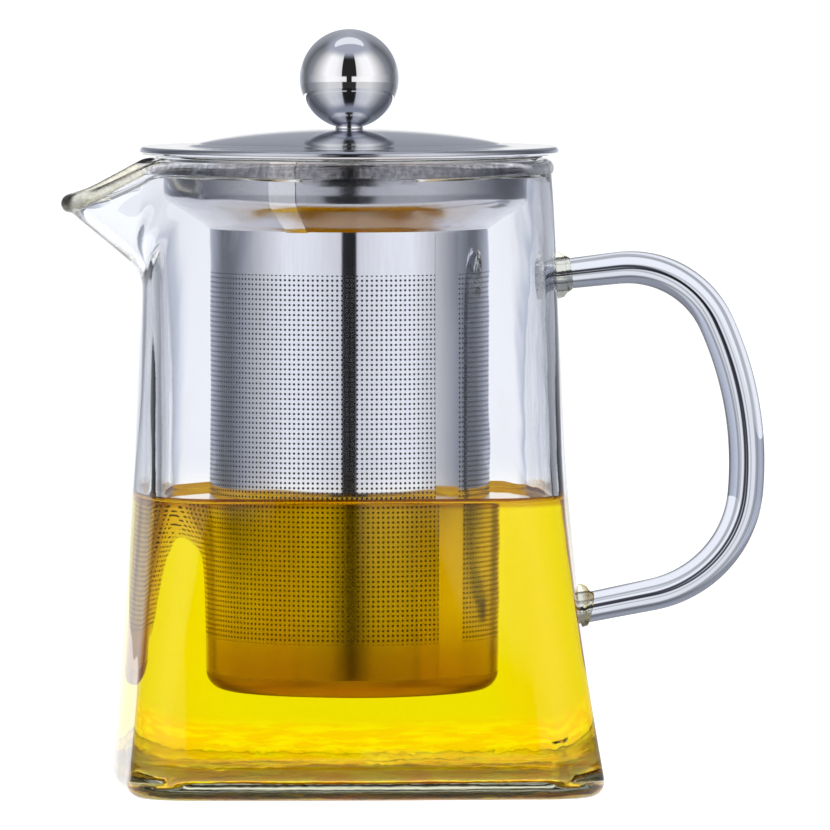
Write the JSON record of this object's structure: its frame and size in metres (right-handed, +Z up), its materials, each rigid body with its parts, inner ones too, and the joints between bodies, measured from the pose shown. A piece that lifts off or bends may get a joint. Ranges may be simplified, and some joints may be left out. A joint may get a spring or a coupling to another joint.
{
  "type": "glass teapot",
  "caption": "Square-based clear glass teapot with a pulled spout, a glass loop handle, a lift-out perforated steel infuser and a lift-off steel lid with a ball knob.",
  "frame": {"origin": "centre of the flat underside, on the table", "axes": "+Z up along the axis of the mouth, infuser and knob; the spout points along -X and the handle along +X"},
  "size_m": [0.1528, 0.1002, 0.165],
  "materials": {
    "clear_glass": "clear gloss",
    "polished_steel": "polished",
    "satin_steel": "satin",
    "perforated_steel": "fine brushed, etched holes",
    "lid_steel": "fine polish",
    "knob_chrome": "mirror"
  },
  "bodies": {
    "pot": {"glass_body": "clear_glass", "handle_rod": "clear_glass", "handle_bead_upper": "clear_glass", "handle_bead_lower": "clear_glass"},
    "infuser": {"infuser_rim": "polished_steel", "infuser_collar": "satin_steel", "collar_lap_strip": "satin_steel", "basket_wall": "perforated_steel", "basket_seam": "perforated_steel", "basket_bottom": "perforated_steel"},
    "lid": {"lid_cover": "lid_steel", "lid_locating_ring": "satin_steel", "knob_ball": "knob_chrome", "knob_neck": "knob_chrome", "knob_screw": "satin_steel", "knob_washer": "satin_steel"}
  },
  "joints": [
    {"name": "infuser_lift", "type": "slide", "parent": "pot", "child": "infuser", "axis": [0, 0, 1], "range_m": [0, 0.13]},
    {"name": "lid_lift", "type": "slide", "parent": "infuser", "child": "lid", "axis": [0, 0, 1], "range_m": [0, 0.04]}
  ]
}
